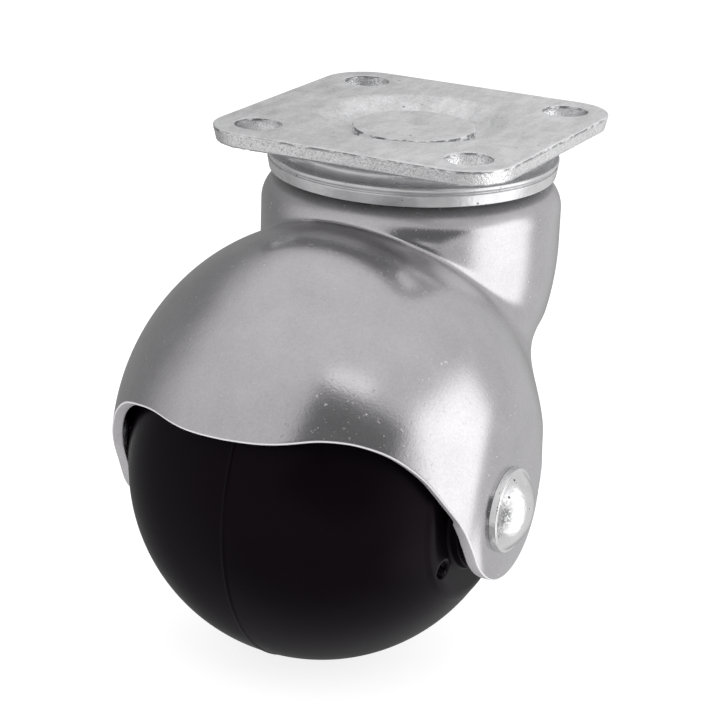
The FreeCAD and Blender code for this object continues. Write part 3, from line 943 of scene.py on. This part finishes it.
def between(tree, share, first, second):
    """First value where the share is 0, second where it is 1."""
    return node(tree, "ShaderNodeMix", {"Factor": share, "A": first, "B": second}).outputs["Result"]


def bump(tree, shader, height, distance):
    """Fine relief of the surface; distance is how far a height of 1 stands out."""
    made = node(tree, "ShaderNodeBump", {"Height": height, "Distance": distance})
    tree.links.new(made.outputs["Normal"], shader.inputs["Normal"])


def shade(tree, shader, value, dark, light):
    """Base colour between two tones, by a value from 0 to 1."""
    ramp = node(tree, "ShaderNodeValToRGB", {"Fac": value})
    ramp.color_ramp.elements[0].color = (*dark, 1)
    ramp.color_ramp.elements[1].color = (*light, 1)
    tree.links.new(ramp.outputs["Color"], shader.inputs["Base Color"])


def specks(tree, place, size, rarity):
    """1 on scattered specks smaller than the given size, 0 elsewhere; fewer, the nearer rarity is to 1."""
    soft_edge = 0.08
    return spread(tree, noise(tree, place, size, 2.0), rarity, rarity + soft_edge, 0, 1)


def dull_zinc():
    """Dull zinc plating of the plate: pale, smudged, pitted, scratched, with torn walls and grimy edges,
    painted shade darker towards -X, and on the kingpin's head a side painted dark as a painted shadow.
    """
    material, tree, shader = new_material("dull_zinc")
    place = surface_place(tree)
    cut = mark(tree, "cut")
    unturned = (0, 0, 0)
    shader.inputs["Metallic"].default_value = 1.0

    # Patterns over the faces and over the sheared walls
    clouds = noise(tree, place, 7 * MM, 5.0, 0.65)
    grain = noise(tree, place, 0.35 * MM, 3.0)
    cloth = noise(tree, stretched(tree, place, (0, 0, 0.4), (1, 0.35, 1)), 1.6 * MM, 5.0, 0.7)
    lines = noise(tree, stretched(tree, place, (0, 0, 0.7), (0.05, 1, 1)), 0.4 * MM)
    torn = noise(tree, stretched(tree, place, unturned, (1, 1, 0.6)), 0.25 * MM, 3.0, 0.7)
    patches = noise(tree, stretched(tree, place, unturned, (0.5, 0.5, 1)), 0.7 * MM)

    # Dark spots: pits and scratches on the faces, holes in the torn walls, patches along the grimy edges,
    # and a painted shadow on the side of the kingpin's head
    pits = specks(tree, place, 0.9 * MM, 0.70)
    scratches = spread(tree, lines, 0.60, 0.70, 0, 0.22)
    holes = spread(tree, torn, 0.34, 0.46, 0.45, 0)
    grime = times(tree, mark(tree, "grime"), spread(tree, patches, 0.42, 0.56, 0, 1))
    dirt_and_shade = larger(tree, between(tree, cut, larger(tree, pits, scratches), holes), grime)

    # Tone: clouds and grain, painted shade darker towards -X, and darker where smudged
    even = plus(tree, clouded(tree, clouds, 0.65, 0.81), times(tree, grain, 0.44))
    across = node(tree, "ShaderNodeSeparateXYZ", {"Vector": place}).outputs["X"]
    painted_shade_towards_left = between(tree, cut, spread(tree, across, -20 * MM, 8 * MM, 0.16, 0), 0)
    smudges = between(tree, cut, spread(tree, cloth, 0.42, 0.62, 0, 0.14), 0)
    tone = minus(tree, even, plus(tree, painted_shade_towards_left, smudges))
    tone = minus(tree, tone, times(tree, dirt_and_shade, 0.8))
    shade(tree, shader, tone, (0.18, 0.18, 0.185), (0.96, 0.96, 0.97))

    worn = clouded(tree, clouds, 0.54, 0.62)
    tree.links.new(between(tree, cut, worn, 0.22), shader.inputs["Roughness"])
    height = between(tree, cut, grain, times(tree, torn, 3.5))
    bump(tree, shader, minus(tree, height, dirt_and_shade), 0.022 * MM)
    return material


def satin_zinc():
    """Satin plating of the hood: even, with a sparkling grain of painted glints, a few stains, burred
    corners painted near white as a painted highlight, and the top of the shoulder painted darker as painted
    shade.
    """
    material, tree, shader = new_material("satin_zinc")
    place = surface_place(tree)
    burr_and_highlight = mark(tree, "burr_and_highlight")
    dull_and_shaded = mark(tree, "dull_and_shaded")
    drawn = mark(tree, "drawn")
    clouds = noise(tree, place, 6 * MM, 5.0, 0.65)
    grain = noise(tree, place, 0.35 * MM, 2.0)
    glints = specks(tree, place, 0.55 * MM, 0.66)
    stains = specks(tree, stretched(tree, place, (0.4, 0.3, 0.2), (1, 4, 4)), 5 * MM, 0.76)

    even = plus(tree, clouded(tree, clouds, 0.37, 0.45), times(tree, grain, 0.14))
    tone = minus(tree, even, times(tree, stains, 0.12))
    # Painted shade: the top of the shoulder under the race cup is painted darker
    tone = minus(tree, tone, times(tree, dull_and_shaded, 0.3))
    # Painted glints and painted highlight: pale specks and the burred corners of the edge raise the tone
    painted_glints_and_highlight = larger(tree, times(tree, glints, 0.7), burr_and_highlight)
    tone = larger(tree, tone, painted_glints_and_highlight)
    shade(tree, shader, tone, (0.135, 0.132, 0.136), (0.945, 0.923, 0.950))

    worn = between(tree, drawn, clouded(tree, clouds, 0.19, 0.22), 0.40)
    matt = larger(tree, larger(tree, mark(tree, "cut"), burr_and_highlight), dull_and_shaded)
    rough = larger(tree, glints, matt)
    tree.links.new(between(tree, rough, worn, 0.45), shader.inputs["Roughness"])
    tree.links.new(between(tree, matt, 1.0, 0.4), shader.inputs["Metallic"])
    bump(tree, shader, plus(tree, grain, glints), 0.008 * MM)
    return material


def bright_zinc(name, smoothest, roughest, metal, paleness):
    """Brighter plating of the races and the rivet, with grain, a few dark spots, and on the rivet's domes a
    speckled place darkened as pits with a painted dark reflection.
    """
    material, tree, shader = new_material(name)
    place = surface_place(tree)
    shader.inputs["Metallic"].default_value = metal
    clouds = noise(tree, place, 3 * MM, 4.0)
    grain = noise(tree, place, 0.55 * MM, 2.0)
    spots = specks(tree, place, 0.8 * MM, 0.70)
    # Speckled darkening of the marked place on the rivet's domes: pits with a painted dark reflection
    pits_and_dark_reflection = spread(tree, noise(tree, place, 0.3 * MM), 0.30, 0.52, 0, 0.8)
    dirt_and_shade = larger(tree, spots, times(tree, mark(tree, "grime"), pits_and_dark_reflection))
    tone = minus(tree, clouded(tree, clouds, 0.8, 1.0), dirt_and_shade)
    blue_hint = 0.01
    shade(tree, shader, tone, (0.10, 0.10, 0.10), (paleness, paleness, paleness + blue_hint))
    tree.links.new(clouded(tree, clouds, smoothest, roughest), shader.inputs["Roughness"])
    bump(tree, shader, minus(tree, grain, spots), 0.03 * MM)
    return material


def black_plastic():
    """Black moulded plastic with a faint purple tint, a fine skin and a few dust specks."""
    material, tree, shader = new_material("black_plastic")
    place = surface_place(tree)
    clouds = noise(tree, place, 9 * MM, 3.0)
    dust = specks(tree, place, 0.45 * MM, 0.80)
    skin = noise(tree, place, 0.3 * MM, 2.0)
    tone = plus(tree, times(tree, clouds, 0.01), times(tree, dust, 0.5))
    shade(tree, shader, tone, (0.0030, 0.0018, 0.0031), (0.11, 0.10, 0.11))
    shader.inputs["Specular IOR Level"].default_value = 0.05
    shader.inputs["Specular Tint"].default_value = (1.0, 0.80, 1.0, 1)
    tree.links.new(clouded(tree, clouds, 0.25, 0.33), shader.inputs["Roughness"])
    bump(tree, shader, skin, 0.006 * MM)
    return material


def bearing_steel():
    """Polished bearing balls, a little stained."""
    material, tree, shader = new_material("bearing_steel")
    shader.inputs["Metallic"].default_value = 1.0
    clouds = noise(tree, surface_place(tree), 1.5 * MM)
    shade(tree, shader, clouds, (0.40, 0.40, 0.41), (0.60, 0.60, 0.61))
    tree.links.new(clouded(tree, clouds, 0.10, 0.22), shader.inputs["Roughness"])
    return material


def dress(piece, body, material, replaced):
    """Gives a piece its material and puts it in place of its solid."""
    piece.data.materials.clear()
    piece.data.materials.append(material)
    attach(piece, body)
    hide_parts(replaced)


def paint_node(name, material):
    """Gives a solid that stays as it is its material."""
    for slot in frame["nodes"][name].material_slots:
        slot.material = material


# Stage

def make_floor():
    """Plain pale floor that glows a little, so that it is nearly white, and doesn't show in reflections."""
    mesh = bpy.data.meshes.new("floor")
    signs = ((-1, -1), (1, -1), (1, 1), (-1, 1))
    corners = [(x * FLOOR_HALF, y * FLOOR_HALF, FLOOR_LEVEL) for x, y in signs]
    mesh.from_pydata(corners, [], [(0, 1, 2, 3)])
    floor = bpy.data.objects.new("floor", mesh)
    bpy.context.scene.collection.objects.link(floor)
    material, tree, shader = new_material("floor_paper")
    clouds = noise(tree, surface_place(tree), FLOOR_CLOUDS)
    shade(tree, shader, clouds, (0.49, 0.49, 0.49), (0.51, 0.51, 0.51))
    shader.inputs["Roughness"].default_value = 0.9
    shader.inputs["Specular IOR Level"].default_value = 0.0
    shader.inputs["Emission Color"].default_value = (1, 1, 1, 1)
    shader.inputs["Emission Strength"].default_value = FLOOR_GLOW
    mesh.materials.append(material)
    floor.visible_glossy = False


def facing(azimuth, elevation):
    """Direction with azimuth 0 towards -Y and 90 towards +X, in degrees."""
    turn = math.radians(azimuth)
    rise = math.radians(elevation)
    return (math.sin(turn) * math.cos(rise), -math.cos(turn) * math.cos(rise), math.sin(rise))


def reach_along(tree, direction, axis):
    """How far a direction reaches along an axis."""
    made = node(tree, "ShaderNodeVectorMath", {0: direction, 1: axis}, operation="DOT_PRODUCT")
    return made.outputs["Value"]


def lit_panel(tree, direction, level, aim, tilt, half_sizes, softness, light):
    """Light of the room with one more soft-edged panel in it, whose angles are in degrees."""
    azimuth, elevation = aim
    toward = Vector(facing(azimuth, elevation))
    level_right = Vector(facing(azimuth + 90, 0))
    right = Matrix.Rotation(math.radians(tilt), 3, toward) @ level_right
    up = toward.cross(right)
    depth = reach_along(tree, direction, toward)
    shares = []
    for axis, half in zip((right, up), half_sizes):
        aside = reach_along(tree, direction, axis)
        size = node(tree, "ShaderNodeMath", {0: aside}, operation="ABSOLUTE").outputs["Value"]
        angle = combine(tree, "ARCTAN2", size, depth)
        outer_edge = math.radians(half + softness)
        inner_edge = math.radians(half - softness)
        inside = node(tree, "ShaderNodeMapRange",
                      {"Value": angle, "From Min": outer_edge, "From Max": inner_edge},
                      interpolation_type="SMOOTHSTEP")
        shares.append(inside.outputs["Result"])
    return between(tree, times(tree, *shares), level, light)


def light_room():
    """Soft studio: a pale room with a dim side, a soft box to the right and the dark behind the camera."""
    world = bpy.data.worlds.new("studio")
    bpy.context.scene.world = world
    world.use_nodes = True
    tree = world.node_tree
    tree.nodes.clear()
    direction = tree.nodes.new("ShaderNodeTexCoord").outputs["Generated"]
    dim_side = dict(aim=(-125, -12), tilt=0, half_sizes=(50, 58), softness=22, light=0.31)
    dim_floor = dict(aim=(22, -48), tilt=0, half_sizes=(45, 22), softness=8, light=0.45)
    ceiling = dict(aim=(0, 90), tilt=0, half_sizes=(45, 45), softness=20, light=0.88)
    soft_box = dict(aim=(102, -8), tilt=0, half_sizes=(26, 36), softness=8, light=1.85)
    camera_place = dict(aim=(37.6, 16.3), tilt=-28, half_sizes=(26.5, 24.5), softness=2.0, light=0.18)
    small_lamp = dict(aim=(44, 48), tilt=-24, half_sizes=(12, 4), softness=3, light=1.5)
    level = ROOM_LIGHT
    for panel in (dim_side, dim_floor, ceiling, soft_box, camera_place, small_lamp):
        level = lit_panel(tree, direction, level, **panel)
    background = node(tree, "ShaderNodeBackground", {"Color": (1, 1, 1, 1), "Strength": level})
    output = tree.nodes.new("ShaderNodeOutputWorld")
    tree.links.new(background.outputs["Background"], output.inputs["Surface"])


def make_camera():
    """Camera at the photo's view, turned a little about its own axis."""
    back = Vector(facing(math.degrees(VIEW_AZIMUTH), math.degrees(VIEW_ELEVATION)))
    right = Vector((math.cos(VIEW_AZIMUTH), math.sin(VIEW_AZIMUTH), 0))
    up = back.cross(right)
    rolled_right = math.cos(VIEW_ROLL) * right + math.sin(VIEW_ROLL) * up
    rolled_up = math.cos(VIEW_ROLL) * up - math.sin(VIEW_ROLL) * right
    data = bpy.data.cameras.new("photo_view")
    data.sensor_width = SENSOR_WIDTH
    data.lens = FOCAL_PIXELS * SENSOR_WIDTH / FRAME_PIXELS
    data.clip_start = NEAREST_SEEN
    camera = bpy.data.objects.new("photo_view", data)
    turned = Matrix((rolled_right, rolled_up, back)).transposed().to_4x4()
    camera.matrix_world = Matrix.Translation(VIEW_TARGET + back * VIEW_DISTANCE) @ turned
    bpy.context.scene.collection.objects.link(camera)
    bpy.context.scene.camera = camera


plate_finish = dull_zinc()
hood_finish = satin_zinc()
race_finish = bright_zinc("race_zinc", smoothest=0.18, roughest=0.28, metal=0.70, paleness=0.70)
rivet_finish = bright_zinc("rivet_zinc", smoothest=0.12, roughest=0.18, metal=1.0, paleness=0.80)
ball_finish = black_plastic()
bearing_finish = bearing_steel()

dress(make_plate(), "plate", plate_finish, "top_plate")
dress(make_kingpin(), "plate", plate_finish, "kingpin")
dress(make_race_cup(), "plate", race_finish, "race_cup")
dress(make_hood(), "yoke", hood_finish, "yoke_hood")
dress(make_rivet(), "yoke", rivet_finish, "axle_rivet")
dress(make_ball(), "wheel", ball_finish, "ball_wheel")
paint_node("lower_race", race_finish)
for name in frame["nodes"]:
    if name.startswith(("upper_ball", "lower_ball")):
        paint_node(name, bearing_finish)

make_floor()
light_room()
make_camera()
bpy.context.scene.view_settings.view_transform = "Standard"
